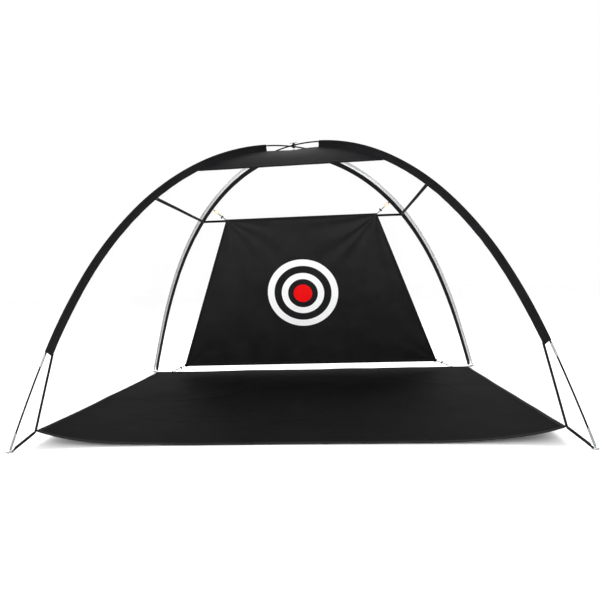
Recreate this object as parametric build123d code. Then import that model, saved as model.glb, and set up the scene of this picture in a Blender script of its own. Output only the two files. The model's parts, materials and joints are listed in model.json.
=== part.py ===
from build123d import *
import math
import os

# Dome net for golf chipping practice: two crossing shock-corded poles carry a net, a top
# canopy, a floor sheet and a hanging target sheet. Millimetres, +Z up. The open front faces -Y
# and the origin is the middle of the footprint, on the ground.

# Driving dimensions
WIDTH = 3000.0             # between the pole feet along X
DEPTH = 2000.0             # between the pole feet along Y
HEIGHT = 1800.0            # crown of the arches, midway between the two crossing poles
SECTIONS = 11              # equal sections in one pole
POLE_D = 9.5
POLE_BORE = 6.0
POLE_GAP = 0.6             # air between the two poles where they cross
FERRULE_D = 12.2
FERRULE_BORE = 10.4
FERRULE_LENGTH = 70.0
SHOCK_CORD_D = 2.6
FOOT_Z = 14.0              # lower end of a pole tip, on its axis
TIP_D = 12.2
TIP_LENGTH = 92.0
TIP_PLUG = 22.0            # solid part of the tip below the pole
PIN_D = 4.0
PIN_INSERTED = 16.0
PIN_TAIL = 34.0
RING_MAJOR = 10.5
RING_WIRE = 3.0
RING_WIDTH = 25.0          # straight bar of the D ring, between wire axes
WEB_WIDTH = 14.0
WEB_THICK = 1.5
SLEEVE_WALL_D = 15.0       # tube of the sleeve round the pole
SLEEVE_TUBE_BORE = 12.8
SLEEVE_PLY = 2.4           # the two plies below the pole, pressed together
SLEEVE_START = 0.080       # share of the half pole, from the crown
FRONT_SLEEVE_END = 0.800
REAR_SLEEVE_END = 0.965
REAR_TAPE_END = 0.988
FRONT_SLEEVE_DEEP = 38.0   # pole axis to the sleeve's inner edge
REAR_SLEEVE_DEEP = 24.0
REAR_TAPE_DEEP = 58.0
TAPE_THICK = 2.4
NET_DEEP = 42.0            # pole axis to the net
NET_THICK = 1.2
NET_GAP = 4.0              # net to the upright plane through the pole
NET_START = 0.012
BACK_NET_END = 0.985
CANOPY_END = 0.275
CANOPY_THICK = 1.6
CANOPY_HEM_WIDTH = 22.0
LEVEL_TAPE_SHARE = 0.412
LEVEL_TAPE_WIDTH = 18.0
FLOOR_FRONT = (1400.0, 930.0, 85.0)    # raised front corner: half width, distance forward, height
FLOOR_REAR = (1450.0, 965.0)
FLOOR_CREASE = (950.0, 350.0)          # where the raised corner's crease meets the front and the side
FLOOR_THICK = 2.0
BINDING_WIDTH = 20.0
TARGET_TOP = (615.0, 497.0, 1366.0)    # half width, distance back, height
TARGET_FOOT = (1157.0, 890.0, 72.0)
TARGET_THICK = 1.6
TARGET_BINDING = 24.0
TOP_ANCHOR = (707.0, 471.3, 1441.5)
FOOT_ANCHOR = (1297.0, 946.0, 13.0)
EYELET_D = 16.0
EYELET_INSET = 17.0
ELASTIC_D = 4.0
LOCK_D = 13.0              # barrel of the cord lock, lying across the cord
LOCK_LENGTH = 20.0
PLUNGER_D = 10.2
PLUNGER_OUT = 7.0          # plunger standing out of the barrel
PRESS = 5.0                # travel of the plunger
HOOK_HALF = 7.5            # wire axis to the hook's middle line
HOOK_WIRE = 4.0
GATE_WIRE = 3.0
PIVOT_X = -32.0            # gate pivot, along the tie from the anchor
PIN_R = 0.75
PIN_CLEARANCE = 0.12
CHEEK_THICK = 1.2
CHEEK_OFFSET = 1.75         # middle of each fork cheek, from the hook's plane
KNUCKLE_R = 2.2
KNUCKLE_THICK = 2.1
EYE_R = 5.2
EYE_WIRE = 3.0
EYE_BACK = -53.6           # far side of the hook's eye, on its wire axis
LOCK_FLOOR = 1.0           # closed end of the barrel
PLUNGER_DEEP = 3.8         # plunger below the barrel's middle, at rest
LOCK_PLACE = {"top": -82.0, "foot": -108.0}   # cord lock along the tie from the anchor
STRAND_WIDE = 4.6          # half the distance between the elastic's two strands
STRAND_NARROW = 2.2        # the same, inside the cord lock
STRAND_FLAT = 31.0         # elastic beside the target sheet, from the eyelet
LOOP_REACH = 5.0

SIDES = {"left": -1, "right": 1}
TIES = {"top_left": (-1, 1), "top_right": (1, 1), "foot_left": (-1, -1), "foot_right": (1, -1)}

HALF_SPAN = math.hypot(WIDTH / 2, DEPTH / 2)
ALONG_X = WIDTH / 2 / HALF_SPAN
ALONG_Y = DEPTH / 2 / HALF_SPAN
CORNERS = {
    "front_left": (-1, -1),
    "front_right": (1, -1),
    "rear_left": (-1, 1),
    "rear_right": (1, 1),
}


def arc_step(r, z, start, end, length):
    """End of an arc of this length whose slope turns from start to end."""
    half_turn = (end - start) / 2
    chord = length * math.sin(half_turn) / half_turn if half_turn else length
    middle = (start + end) / 2
    return r + chord * math.cos(middle), z - chord * math.sin(middle)


class Arch:
    """Half of a bent pole in its upright plane, from the crown down to the foot.

    The slope grows as a sine along the pole, as in a bent batten, and each pole section is one
    arc tangent to the next. A station is the distance from the crown as a share of the half pole.
    """

    def __init__(self, crown_z):
        self.joints = [(2 * k + 1) / SECTIONS for k in range((SECTIONS - 1) // 2)] + [1.0]
        low, high = math.radians(30), math.radians(89)
        rise = crown_z - FOOT_Z
        for _ in range(60):
            self.foot_slope = (low + high) / 2
            r, z, _slope = self.walk(1.0, 1.0, 0.0)
            if -z / r > rise / HALF_SPAN:
                high = self.foot_slope
            else:
                low = self.foot_slope
        self.half_length = HALF_SPAN / r
        self.crown_z = crown_z

    def slope(self, station):
        return self.foot_slope * math.sin(station * math.pi / 2)

    def walk(self, station, half_length, crown_z):
        r, z, here, slope = 0.0, crown_z, 0.0, 0.0
        for joint in self.joints:
            end = min(joint, station)
            joint_slope = self.slope(joint)
            end_slope = slope + (joint_slope - slope) * (end - here) / (joint - here)
            r, z = arc_step(r, z, slope, end_slope, (end - here) * half_length)
            here, slope = end, end_slope
            if end >= station:
                break
        return r, z, slope

    def point(self, station, inward=0.0):
        """Radius and height at a station, moved towards the inside of the arch."""
        r, z, slope = self.walk(station, self.half_length, self.crown_z)
        return r - inward * math.sin(slope), z - inward * math.cos(slope)


CROSS_LIFT = (POLE_D + POLE_GAP) / 2
ARCHES = {"a": Arch(HEIGHT - CROSS_LIFT), "b": Arch(HEIGHT + CROSS_LIFT)}
MEAN_ARCH = Arch(HEIGHT)
# Pole a runs from front left to rear right, and pole b from front right to rear left.
ARCH_OF = {"front_left": "a", "rear_right": "a", "front_right": "b", "rear_left": "b"}


def place(corner, r, z, across=0.0):
    """A point in the upright plane through one half pole, with a distance sideways from it."""
    sx, sy = CORNERS[corner]
    return Vector(sx * ALONG_X * r - sy * ALONG_Y * across, sy * ALONG_Y * r + sx * ALONG_X * across, z)


def on_arch(corner, station, inward=0.0):
    return place(corner, *ARCHES[ARCH_OF[corner]].point(station, inward))


def pole_point(pole, station, inward=0.0):
    """A point on a whole pole, with stations from -1 at its front foot to 1 at its rear foot."""
    front, rear = [corner for corner in CORNERS if ARCH_OF[corner] == pole]
    return on_arch(front if station < 0 else rear, abs(station), inward)


def arc_through(point_at, start, end):
    return Edge.make_three_point_arc(point_at(start), point_at((start + end) / 2), point_at(end))


def stretches(start, end):
    """The pole sections between two stations of a half pole."""
    cuts = [start] + [j for j in MEAN_ARCH.joints if start + 0.01 < j < end - 0.01] + [end]
    return list(zip(cuts, cuts[1:]))


def tube(path, outer_d, bore_d=0.0):
    section = Circle(outer_d / 2)
    if bore_d:
        section -= Circle(bore_d / 2)
    return sweep(Plane(origin=path @ 0, z_dir=path % 0) * section, path=path)


def rod(start, end, diameter, bore_d=0.0):
    return tube(Edge.make_line(start, end), diameter, bore_d)


def folded_sheet(panels, lift):
    """A closed sheet of flat panels that share edges, as thick as the vector lift."""
    faces = []
    edges = {}
    for panel in panels:
        faces.append(Face(Wire.make_polygon([Vector(*p) for p in panel])))
        faces.append(Face(Wire.make_polygon([Vector(*p) + lift for p in panel])))
        for start, end in zip(panel, panel[1:] + panel[:1]):
            key = frozenset((start, end))
            edges[key] = None if key in edges else (start, end)
    for rim in filter(None, edges.values()):
        start, end = Vector(*rim[0]), Vector(*rim[1])
        faces.append(Face(Wire.make_polygon([start, end, end + lift, start + lift])))
    return Solid(Shell(faces))


def strip(start, end, width_dir, width, thick):
    """A straight flat strip centred on the line from start to end."""
    run = Plane(origin=start, x_dir=width_dir, z_dir=end - start)
    return extrude(run * Rectangle(width, thick), amount=(end - start).length)


def write(node, *solids):
    """Writes one sub-part, as one solid or as a group of like solids."""
    parts = []
    for solid in solids:
        parts += solid.solids()
    shape = parts[0] if len(parts) == 1 else Compound(parts)
    export_step(shape, f"parts/{node}.step")


# Poles

def pole_sections(pole):
    plug = (TIP_PLUG + 1) / ARCHES[pole].half_length
    cuts = [-1 + 2 * k / SECTIONS for k in range(SECTIONS + 1)]
    cuts[0] += plug
    cuts[-1] -= plug
    sections = []
    for start, end in zip(cuts, cuts[1:]):
        path = arc_through(lambda s: pole_point(pole, s), start + 0.0001, end - 0.0001)
        sections.append(tube(path, POLE_D, POLE_BORE))
    return sections


def ferrules(pole):
    tubes = []
    for k in range(1, SECTIONS):
        station = -1 + 2 * k / SECTIONS
        half = FERRULE_LENGTH / 2 / ARCHES[pole].half_length
        ends = [pole_point(pole, station - half), pole_point(pole, station + half)]
        sag = pole_point(pole, station) - (ends[0] + ends[1]) / 2
        tubes.append(rod(ends[0] + sag / 2, ends[1] + sag / 2, FERRULE_D, FERRULE_BORE))
    return tubes


def shock_cord(pole):
    reach = 1 - (TIP_PLUG + 4) / ARCHES[pole].half_length
    cuts = [-1 + 2 * k / SECTIONS for k in range(SECTIONS + 1)]
    cuts[0], cuts[-1] = -reach, reach
    edges = [arc_through(lambda s: pole_point(pole, s), a, b) for a, b in zip(cuts, cuts[1:])]
    return tube(Wire(edges), SHOCK_CORD_D)


# Feet

def foot_frame(corner):
    """The tip's lower end, the direction up the pole, and the outward direction on the ground."""
    arch = ARCHES[ARCH_OF[corner]]
    end = place(corner, HALF_SPAN, FOOT_Z)
    slope = arch.foot_slope
    up = place(corner, -math.cos(slope), math.sin(slope))
    return end, up, place(corner, 1, 0)


def pole_tip(corner):
    end, up, _out = foot_frame(corner)
    body = rod(end, end + up * TIP_LENGTH, TIP_D)
    body = chamfer(body.edges().filter_by(GeomType.CIRCLE).group_by(Axis.Z)[0], 1.6)
    socket = rod(end + up * TIP_PLUG, end + up * (TIP_LENGTH + 1), FERRULE_BORE)
    pin_hole = rod(end - up, end + up * (PIN_INSERTED + 1), PIN_D + 0.6)
    return body - socket - pin_hole


def ring_height(at_outer_rim):
    """Height of the ring's wire axis: the strap lifts its inner side off the ground."""
    return RING_WIRE / 2 if at_outer_rim else 5.0


def corner_ring(corner):
    outer = place(corner, HALF_SPAN + 2 + RING_MAJOR, ring_height(True))
    inner = place(corner, HALF_SPAN + 2 - RING_MAJOR, ring_height(False))
    centre = (outer + inner) / 2
    out = (outer - inner).normalized()
    normal = out.cross(place(corner, 0, 0, 1))
    bar, nose = RING_WIDTH / 2, RING_WIDTH / 2 - 3
    loop = FilletPolyline((-RING_MAJOR, -bar), (RING_MAJOR, -nose), (RING_MAJOR, nose),
                          (-RING_MAJOR, bar), close=True, radius=4.0)
    plane = Plane(origin=centre, x_dir=out, z_dir=normal)
    return tube(Wire([plane.from_local_coords(edge) for edge in loop.edges()]), RING_WIRE)


def corner_pin(corner):
    end, up, out = foot_frame(corner)
    tail_z = RING_WIRE + PIN_D / 2 + 0.4
    slope = ARCHES[ARCH_OF[corner]].foot_slope
    bend = place(corner, HALF_SPAN + (FOOT_Z - tail_z) / math.tan(slope), tail_z)
    path = FilletPolyline(end + up * PIN_INSERTED, bend, bend + out * PIN_TAIL, radius=5.0)
    point = Plane(origin=bend + out * PIN_TAIL, z_dir=out) * Cone(
        PIN_D / 2, 0.4, 8.0, align=(Align.CENTER, Align.CENTER, Align.MIN))
    return tube(path, PIN_D) + point


def corner_strap(corner):
    """Webbing stitched to the floor sheet's corner and looped through the ring."""
    if corner.startswith("front"):
        r, z = math.hypot(FLOOR_FRONT[0], FLOOR_FRONT[1]) - 4, FLOOR_FRONT[2] + 3.2
    else:
        r, z = math.hypot(*FLOOR_REAR) - 14, FLOOR_THICK + 1.2
    ring_r, ring_z = HALF_SPAN + 2 - RING_MAJOR, ring_height(False)
    turn = (RING_WIRE + WEB_THICK) / 2 + 0.3
    reach = math.hypot(r - ring_r, z - ring_z)
    along = ((r - ring_r) / reach, (z - ring_z) / reach)
    over = (-along[1], along[0]) if along[0] > 0 else (along[1], -along[0])

    def point(a, b):
        return place(corner, ring_r + along[0] * a + over[0] * b, ring_z + along[1] * a + over[1] * b)

    tail = min(30.0, reach * 0.5)
    path = Wire([
        Edge.make_line(point(reach, turn), point(0, turn)),
        Edge.make_three_point_arc(point(0, turn), point(-turn, 0), point(0, -turn)),
        Edge.make_line(point(0, -turn), point(tail, -turn)),
    ])
    start = Plane(origin=path @ 0, x_dir=place(corner, 0, 0, 1), z_dir=path % 0)
    return sweep(start * Rectangle(WEB_WIDTH, WEB_THICK), path=path)


# Sleeves, tapes and nets

def sleeve(corner, end, deep):
    """Cloth tube round the pole with its two plies closed below it, in pole-section lengths."""
    lengths = []
    for start, stop in stretches(SLEEVE_START, end):
        path = arc_through(lambda s: on_arch(corner, s), start, stop)
        inward = on_arch(corner, start, 1) - on_arch(corner, start)
        plies = Pos(deep / 2, 0) * Rectangle(deep, SLEEVE_PLY)
        profile = Circle(SLEEVE_WALL_D / 2) + plies - Circle(SLEEVE_TUBE_BORE / 2)
        run = Plane(origin=path @ 0, x_dir=inward, z_dir=path % 0)
        lengths.append(sweep(run * profile, path=path))
    return lengths


def seam_tape(corner):
    """Binding along the inner edge of a rear sleeve, where the nets are sewn on."""
    lengths = []
    middle = (REAR_SLEEVE_DEEP + REAR_TAPE_DEEP) / 2 + 0.2
    for start, stop in stretches(SLEEVE_START, REAR_TAPE_END):
        path = arc_through(lambda s: on_arch(corner, s, middle), start, stop)
        inward = on_arch(corner, start, 1) - on_arch(corner, start)
        run = Plane(origin=path @ 0, x_dir=inward, z_dir=path % 0)
        band = Rectangle(REAR_TAPE_DEEP - REAR_SLEEVE_DEEP - 0.4, TAPE_THICK)
        lengths.append(sweep(run * band, path=path))
    return lengths


def net_edge(station, deep=NET_DEEP):
    return MEAN_ARCH.point(station, deep)


def curved_panel(facing, start, stop, deep, thick, gap=NET_GAP):
    """Cloth stretched level between two seams: facing is the way that its outside looks."""
    side = facing[0] != 0
    ratio = ALONG_X if side else ALONG_Y
    sign = facing[0] + facing[1]
    plane = Plane.XZ if side else Plane.YZ

    def local(station, inset):
        r, z = net_edge(station, deep + inset)
        return (sign * ratio * r, z)

    middle = (start + stop) / 2
    outer = ThreePointArc(local(start, 0), local(middle, 0), local(stop, 0))
    inner = ThreePointArc(local(start, thick), local(middle, thick), local(stop, thick))
    ends = Line(outer @ 0, inner @ 0) + Line(outer @ 1, inner @ 1)
    band = make_face(outer + inner + ends)
    solid = extrude(plane * band, amount=WIDTH, both=True)
    return solid & sector(facing, gap)


def sector(facing, gap):
    """Upright wedge between the two pole planes on one side of the dome."""
    far = 1.2 * max(WIDTH, DEPTH)
    if facing[0]:
        start = facing[0] * gap / ALONG_Y
        spread = (far - abs(start)) * DEPTH / WIDTH
        points = [(start, 0), (facing[0] * far, spread), (facing[0] * far, -spread)]
    else:
        start = facing[1] * gap / ALONG_X
        spread = (far - abs(start)) * WIDTH / DEPTH
        points = [(0, start), (spread, facing[1] * far), (-spread, facing[1] * far)]
    return extrude(Polygon(*points, align=None), amount=2 * HEIGHT, both=True)


def net_panel(facing, stop):
    return [curved_panel(facing, a, b, NET_DEEP, NET_THICK) for a, b in stretches(NET_START, stop)]


def net_skirt(sx):
    """Flat lower parts of a side net, from the front sleeve's end down to the floor sheet."""
    r, z = net_edge(FRONT_SLEEVE_END, NET_DEEP + NET_THICK)
    top_front = (sx * ALONG_X * r, -ALONG_Y * r + 8, z - 1.5)
    top_rear = (sx * ALONG_X * r, ALONG_Y * r - 8, z - 1.5)
    foot_front = (sx * (FLOOR_FRONT[0] - 22), -FLOOR_FRONT[1] + 26, FLOOR_FRONT[2] + 9)
    foot_rear = (sx * (FLOOR_REAR[0] - 32), FLOOR_REAR[1] - 50, 7.0)
    lift = Vector(sx * -NET_THICK, 0, 0)
    return folded_sheet([[top_front, top_rear, foot_front], [top_rear, foot_rear, foot_front]], lift)


def back_skirt():
    """Flat foot of the back net, down to the floor sheet's rear hem."""
    r, z = net_edge(BACK_NET_END, NET_DEEP + NET_THICK)
    top, foot = ALONG_Y * r, FLOOR_REAR[1] - 3
    half = ALONG_X * r - 60
    panel = [(-half, top, z - 1), (half, top, z - 1), (half, foot, 6.0), (-half, foot, 6.0)]
    return folded_sheet([panel], Vector(0, -NET_THICK, 0))


def net_edge_tape(sx):
    """Narrow binding on the net's free front edge, from the sleeve down to the floor corner."""
    corner = "front_right" if sx > 0 else "front_left"
    top = on_arch(corner, FRONT_SLEEVE_END + 0.002, FRONT_SLEEVE_DEEP - 5)
    foot = Vector(sx * FLOOR_FRONT[0], -FLOOR_FRONT[1] - 1, FLOOR_FRONT[2] + 7)
    return strip(top, foot, Vector(1, 0.25 * sx, 0), 10.0, 1.6)


def level_tape(facing):
    """Straight tape across the inside of a net, level from one pole seam to the next."""
    r, z = net_edge(LEVEL_TAPE_SHARE, NET_DEEP + NET_THICK + 0.5)
    slope = MEAN_ARCH.slope(LEVEL_TAPE_SHARE)
    ratio, half = (ALONG_X, ALONG_Y) if facing[0] else (ALONG_Y, ALONG_X)
    sign = facing[0] + facing[1]
    reach = half * r - 14
    run = -ratio * math.cos(slope)
    if facing[0]:
        start, end = Vector(sign * ratio * r, -reach, z), Vector(sign * ratio * r, reach, z)
        down = Vector(-sign * run, 0, -math.sin(slope))
        inside = Vector(-sign, 0, 0)
    else:
        start, end = Vector(-reach, sign * ratio * r, z), Vector(reach, sign * ratio * r, z)
        down = Vector(0, -sign * run, -math.sin(slope))
        inside = Vector(0, -sign, 0)
    down = down.normalized()
    normal = (end - start).normalized().cross(down)
    if normal.dot(inside) < 0:
        normal = normal * -1
    shift = normal * 1.4
    return strip(start + shift, end + shift, down, LEVEL_TAPE_WIDTH, 1.2)


def canopy():
    """Cloth over the front of the crown, between the two front sleeves."""
    cuts = [(NET_START, MEAN_ARCH.joints[0]), (MEAN_ARCH.joints[0], CANOPY_END)]
    return [curved_panel((0, -1), a, b, NET_DEEP - 4, CANOPY_THICK) for a, b in cuts]


def canopy_hem():
    """Folded hem along the canopy's straight front edge."""
    r, z = net_edge(CANOPY_END, NET_DEEP - 4)
    slope = MEAN_ARCH.slope(CANOPY_END)
    down = Vector(0, -ALONG_Y * math.cos(slope), -math.sin(slope)).normalized()
    y = -ALONG_Y * r
    half = ALONG_X * r - 8
    middle = down * (CANOPY_HEM_WIDTH / 2 + 0.6)
    start, end = Vector(-half, y, z) + middle, Vector(half, y, z) + middle
    return strip(start, end, down, CANOPY_HEM_WIDTH, 2.6)


def crown_tie():
    """Cord wound round the crossing poles, with a short drop to the canopy's apex."""
    cord = 3.0
    reach = POLE_D / 2 + cord / 2 + 0.5
    top, bottom = HEIGHT + CROSS_LIFT + reach, HEIGHT - CROSS_LIFT - reach
    half = reach + 7.0
    ring = FilletPolyline(
        (-half, 0, bottom), (-half, 0, top), (half, 0, top), (half, 0, bottom), close=True, radius=6.0)
    drop_top = bottom - cord / 2
    drop = rod(Vector(0, 0, drop_top + cord), Vector(0, 0, HEIGHT - NET_DEEP + 4), cord)
    return tube(ring, cord) + drop


# Floor sheet

def floor_outline():
    front, rear = FLOOR_FRONT, FLOOR_REAR
    crease_x, crease_y = FLOOR_CREASE
    share = (crease_y + front[1]) / (rear[1] + front[1])
    side_x = front[0] + (rear[0] - front[0]) * share
    return {
        "front_left": (-front[0], -front[1], front[2]),
        "front_right": (front[0], -front[1], front[2]),
        "crease_left": (-crease_x, -front[1], 0.0),
        "crease_right": (crease_x, -front[1], 0.0),
        "side_left": (-side_x, crease_y, 0.0),
        "side_right": (side_x, crease_y, 0.0),
        "rear_left": (-rear[0], rear[1], 0.0),
        "rear_right": (rear[0], rear[1], 0.0),
    }


def floor_sheet():
    p = floor_outline()
    names = ["crease_left", "crease_right", "side_right", "rear_right", "rear_left", "side_left"]
    panels = [
        [p[name] for name in names],
        [p["front_left"], p["crease_left"], p["side_left"]],
        [p["front_right"], p["crease_right"], p["side_right"]],
    ]
    return folded_sheet(panels, Vector(0, 0, FLOOR_THICK))


def floor_binding():
    """Tape sewn on top of the sheet along its straight edges on the ground."""
    p = floor_outline()
    runs = [("crease_left", "crease_right"), ("side_right", "rear_right"),
            ("rear_left", "rear_right"), ("side_left", "rear_left")]
    tapes = []
    lift = Vector(0, 0, FLOOR_THICK + 0.8)
    for start_name, end_name in runs:
        start, end = Vector(*p[start_name]), Vector(*p[end_name])
        along = (end - start).normalized()
        across = along.cross(Vector(0, 0, 1))
        inside = across * (BINDING_WIDTH / 2 + 1)
        if (start + inside).length > (start - inside).length:
            inside = inside * -1
        trim = along * (BINDING_WIDTH + 4)
        tapes.append(strip(start + inside + trim + lift, end + inside - trim + lift,
                           across, BINDING_WIDTH, 1.2))
    return tapes


# Target sheet and its four ties

def target_plane():
    top, foot = TARGET_TOP, TARGET_FOOT
    up = Vector(0, top[1] - foot[1], top[2] - foot[2])
    return Plane(origin=(0, foot[1], foot[2]), x_dir=(1, 0, 0), z_dir=Vector(1, 0, 0).cross(up)), up.length


def target_outline(inset=0.0):
    _plane, height = target_plane()
    lean = (TARGET_FOOT[0] - TARGET_TOP[0]) / height
    side = inset * math.hypot(1, lean)
    top = TARGET_TOP[0] + lean * inset - side
    foot = TARGET_FOOT[0] - lean * inset - side
    return [(-foot, inset), (foot, inset), (top, height - inset), (-top, height - inset)]


def eyelet_centres():
    return [Vector(x, y) for x, y in target_outline(EYELET_INSET)]


def target_sheet():
    plane, _height = target_plane()
    cloth = Polygon(*target_outline(TARGET_BINDING / 2), align=None)
    solid = extrude(plane * cloth, amount=TARGET_THICK / 2, both=True)
    for centre in eyelet_centres():
        spot = plane * Pos(centre.X, centre.Y)
        solid -= spot * Cylinder(EYELET_D / 2 + 0.2, 8)
    return max(solid.solids(), key=lambda piece: piece.volume)


def target_binding():
    """Hem folded round the sheet's four edges, one loop with an eyelet hole at each corner."""
    plane, _height = target_plane()
    frame = Polygon(*target_outline(), align=None) - Polygon(*target_outline(TARGET_BINDING), align=None)
    core = Polygon(*target_outline(TARGET_BINDING / 2 - 0.3), align=None)
    solid = extrude(plane * frame, amount=TARGET_THICK / 2 + 0.9, both=True)
    solid -= extrude(plane * core, amount=TARGET_THICK / 2 + 0.1, both=True)
    for centre in eyelet_centres():
        solid -= plane * Pos(centre.X, centre.Y) * Cylinder(EYELET_D / 2 + 0.2, 8)
    return solid


def target_eyelets():
    plane, _height = target_plane()
    rings = []
    for centre in eyelet_centres():
        barrel = Cylinder(EYELET_D / 2, 4.6) - Cylinder(EYELET_D / 2 - 3.4, 6)
        rings.append(plane * Pos(centre.X, centre.Y) * barrel)
    return rings


def tie_plane(tie):
    """Frame of one tie: origin at its anchor, x along the tie towards it, y across the cord."""
    sx, sy = TIES[tie]
    plane, _height = target_plane()
    centre = max(eyelet_centres(), key=lambda c: c.X * sx + c.Y * sy)
    eyelet = plane.from_local_coords((centre.X, centre.Y, 0))
    point = TOP_ANCHOR if sy > 0 else FOOT_ANCHOR
    anchor = Vector(sx * point[0], point[1], point[2])
    along = (anchor - eyelet).normalized()
    across = plane.z_dir.cross(along).normalized()
    return Plane(origin=anchor, x_dir=along, z_dir=along.cross(across)), (anchor - eyelet).length


def planar_loop(plane, points, radii):
    """Closed loop of straight runs and tangent arcs in a tie's x and z directions."""
    upright = Plane(origin=plane.origin, x_dir=plane.x_dir, z_dir=plane.y_dir * -1)
    return upright, FilletPolyline(*points, radius=radii, close=True)


def elastic_cord(tie):
    """Endless elastic loop through the eyelet and the hook's eye, drawn in by the cord lock."""
    plane, reach = tie_plane(tie)
    sheet, _height = target_plane()
    wide, narrow = STRAND_WIDE, STRAND_NARROW
    lift = sheet.z_dir.dot(plane.x_dir), sheet.z_dir.dot(plane.z_dir)
    lock = lock_place(tie)

    def by_sheet(away, offset):
        """Along the sheet from the eyelet, and off its face."""
        return (-reach + lift[1] * away + lift[0] * offset, lift[1] * offset - lift[0] * away)

    def strand(side):
        return [by_sheet(0, side * wide), by_sheet(STRAND_FLAT, side * wide), (lock - 7, side * narrow),
                (lock + 7, side * narrow), (lock + 17, side * wide), (EYE_BACK + wide, side * wide)]

    upper, lower = strand(1), strand(-1)[::-1]
    radii = [wide - 0.05, 10, 10, 10, 10, wide - 0.05]
    upright, loop = planar_loop(plane, upper + lower, radii + radii[::-1])
    edges = [upright.from_local_coords(edge) for edge in loop.edges()]
    return tube(Wire(edges), ELASTIC_D)


def lock_place(tie):
    return LOCK_PLACE[tie.split("_")[0]]


def lock_frame(tie):
    plane, _reach = tie_plane(tie)
    return plane * Pos(lock_place(tie), 0, 0) * Rot(-90, 0, 0)


def cord_slot(width):
    """Straight way for the two strands, along the tie."""
    return Box(40, ELASTIC_D + 2 * STRAND_NARROW + 0.6, width)


def lock_body(tie):
    """Barrel of the cord lock, open at one end for its plunger."""
    barrel = Cylinder(LOCK_D / 2, LOCK_LENGTH)
    barrel = fillet(barrel.edges().filter_by(GeomType.CIRCLE), 1.2)
    bore = Pos(0, 0, LOCK_FLOOR) * Cylinder(PLUNGER_D / 2 + 0.15, LOCK_LENGTH)
    return lock_frame(tie) * (barrel - bore - cord_slot(ELASTIC_D + 0.6))


def lock_plunger(tie):
    """Plunger pushed up by its spring: its slot is as long as the press."""
    length = LOCK_LENGTH / 2 + PLUNGER_OUT + PLUNGER_DEEP
    middle = (LOCK_LENGTH / 2 + PLUNGER_OUT - PLUNGER_DEEP) / 2
    stem = Pos(0, 0, middle) * Cylinder(PLUNGER_D / 2, length)
    stem = fillet(stem.edges().filter_by(GeomType.CIRCLE).group_by(Axis.Z)[-1], 1.2)
    slot = Pos(0, 0, PRESS / 2) * cord_slot(ELASTIC_D + 0.6 + PRESS)
    return lock_frame(tie) * (stem - slot)


def hook(tie):
    """Brass snap hook: a bent wire bow with a fork for its gate, and an eye for the elastic."""
    plane, _reach = tie_plane(tie)
    r = HOOK_HALF
    front, rear, nose = -r - 0.5, PIVOT_X - 3.0, -r - 5.5
    edges = [
        Edge.make_line((nose, -r), (front, -r)),
        Edge.make_three_point_arc((front, -r), (front + r, 0), (front, r)),
        Edge.make_line((front, r), (rear, r)),
        Edge.make_three_point_arc((rear, r), (rear - r, 0), (rear, -r)),
    ]
    bow = tube(Wire([plane.from_local_coords(edge) for edge in edges]), HOOK_WIRE)
    eye_x = EYE_BACK + EYE_R
    eye = plane * Pos(eye_x, 0) * Torus(EYE_R, EYE_WIRE / 2)
    shape = bow + eye
    for side in (-1, 1):
        cheek = Pos(PIVOT_X - 2, -r, side * CHEEK_OFFSET) * Box(4, 2 * KNUCKLE_R, CHEEK_THICK)
        cheek += Pos(PIVOT_X, -r, side * CHEEK_OFFSET) * Cylinder(KNUCKLE_R, CHEEK_THICK)
        shape += plane * cheek
    return shape + plane * Pos(PIVOT_X, -r) * Cylinder(PIN_R, 2 * (CHEEK_OFFSET + CHEEK_THICK / 2))


def hook_gate(tie):
    """Sprung gate bar that closes the hook's open side."""
    plane, _reach = tie_plane(tie)
    length = -HOOK_HALF - 6.3 - PIVOT_X
    neck = 3.2
    bar = Pos(PIVOT_X + (length + neck) / 2, 0) * Rot(0, 90, 0) * Cylinder(GATE_WIRE / 2, length - neck)
    knuckle = Pos(PIVOT_X, 0) * Cylinder(KNUCKLE_R, KNUCKLE_THICK)
    knuckle += Pos(PIVOT_X + neck / 2, 0) * Box(neck, 2.6, KNUCKLE_THICK)
    gate = bar + knuckle - Pos(PIVOT_X, 0) * Cylinder(PIN_R + PIN_CLEARANCE, 8)
    return plane * Pos(0, -HOOK_HALF) * gate


def hook_loop(tie):
    """Webbing loop that the hook snaps into, stitched to the seam or to the floor sheet."""
    plane, _reach = tie_plane(tie)
    r = 3.7
    points = [(-0.5 - r, r), (LOOP_REACH, r), (LOOP_REACH, -r), (-0.5 - r, -r)]
    upright, loop = planar_loop(plane, points, r - 0.05)
    path = Wire([upright.from_local_coords(edge) for edge in loop.edges()])
    start = Plane(origin=path @ 0, x_dir=plane.y_dir, z_dir=path % 0)
    return sweep(start * Rectangle(5.0, 1.1), path=path)


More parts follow.
